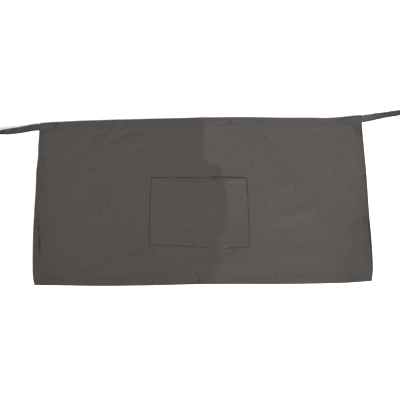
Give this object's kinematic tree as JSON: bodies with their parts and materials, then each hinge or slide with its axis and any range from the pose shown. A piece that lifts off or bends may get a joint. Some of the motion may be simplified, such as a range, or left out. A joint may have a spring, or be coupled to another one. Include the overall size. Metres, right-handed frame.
{
  "type": "waist apron",
  "caption": "Plain waist apron laid flat, with a folded waistband, a tie at each end of it, turned hems and a wide patch pocket open at its top.",
  "frame": {"origin": "middle of the skirt's back face, which lies on the surface", "axes": "+X to the right along the waistband with the front face seen, +Y up the apron from the bottom hem to the waistband, +Z out of the front face"},
  "size_m": [0.9325, 0.3989, 0.0142],
  "materials": {
    "skirt_cloth": "matt charcoal polyester and cotton twill",
    "band_cloth": "matt charcoal twill, folded and stitched",
    "tie_cloth": "matt charcoal twill strip with a faint sheen",
    "pocket_cloth": "matt charcoal twill, stitched on three sides"
  },
  "bodies": {
    "root": {"skirt": "skirt_cloth", "waistband": "band_cloth", "tie_left": "tie_cloth", "tie_right": "tie_cloth", "pocket": "pocket_cloth"}
  },
  "joints": []
}
